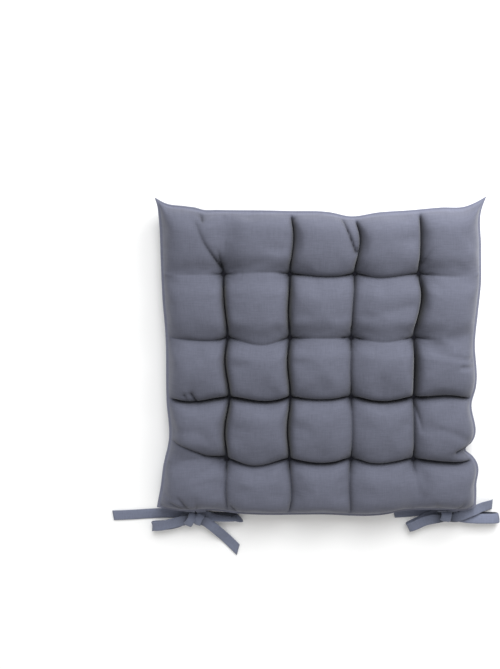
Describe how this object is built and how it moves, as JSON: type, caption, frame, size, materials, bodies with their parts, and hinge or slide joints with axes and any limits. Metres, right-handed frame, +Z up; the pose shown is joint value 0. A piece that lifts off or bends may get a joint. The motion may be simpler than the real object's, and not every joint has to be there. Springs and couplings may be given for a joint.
{
  "type": "chair seat pad",
  "caption": "Square tufted seat pad of plain woven cloth, with a flat sewn lip, pointed corners and two bowed pairs of flat fabric ties along one edge.",
  "frame": {"origin": "under the middle of the pad, on the surface that it lies on", "axes": "+Z up, out of the sitting side; -Y towards the edge that carries the ties; +X to the right when the tie edge is nearest"},
  "size_m": [0.5195, 0.469, 0.05],
  "materials": {
    "cover_cloth": "matt plain weave, grey blue",
    "filling_fibre": "loose white polyester fibre",
    "tie_cloth": "matt plain weave, folded and sewn flat",
    "tuft_thread": "dark matched polyester thread"
  },
  "bodies": {
    "root": {"top_cover": "cover_cloth", "bottom_cover": "cover_cloth", "filling": "filling_fibre", "seam_allowance": "cover_cloth", "tie_left_outer": "tie_cloth", "tie_left_inner": "tie_cloth", "tie_right_inner": "tie_cloth", "tie_right_outer": "tie_cloth", "tuft_thread_11": "tuft_thread", "tuft_thread_12": "tuft_thread", "tuft_thread_13": "tuft_thread", "tuft_thread_14": "tuft_thread", "tuft_thread_21": "tuft_thread", "tuft_thread_22": "tuft_thread", "tuft_thread_23": "tuft_thread", "tuft_thread_24": "tuft_thread", "tuft_thread_31": "tuft_thread", "tuft_thread_32": "tuft_thread", "tuft_thread_33": "tuft_thread", "tuft_thread_34": "tuft_thread", "tuft_thread_41": "tuft_thread", "tuft_thread_42": "tuft_thread", "tuft_thread_43": "tuft_thread", "tuft_thread_44": "tuft_thread"}
  },
  "joints": []
}
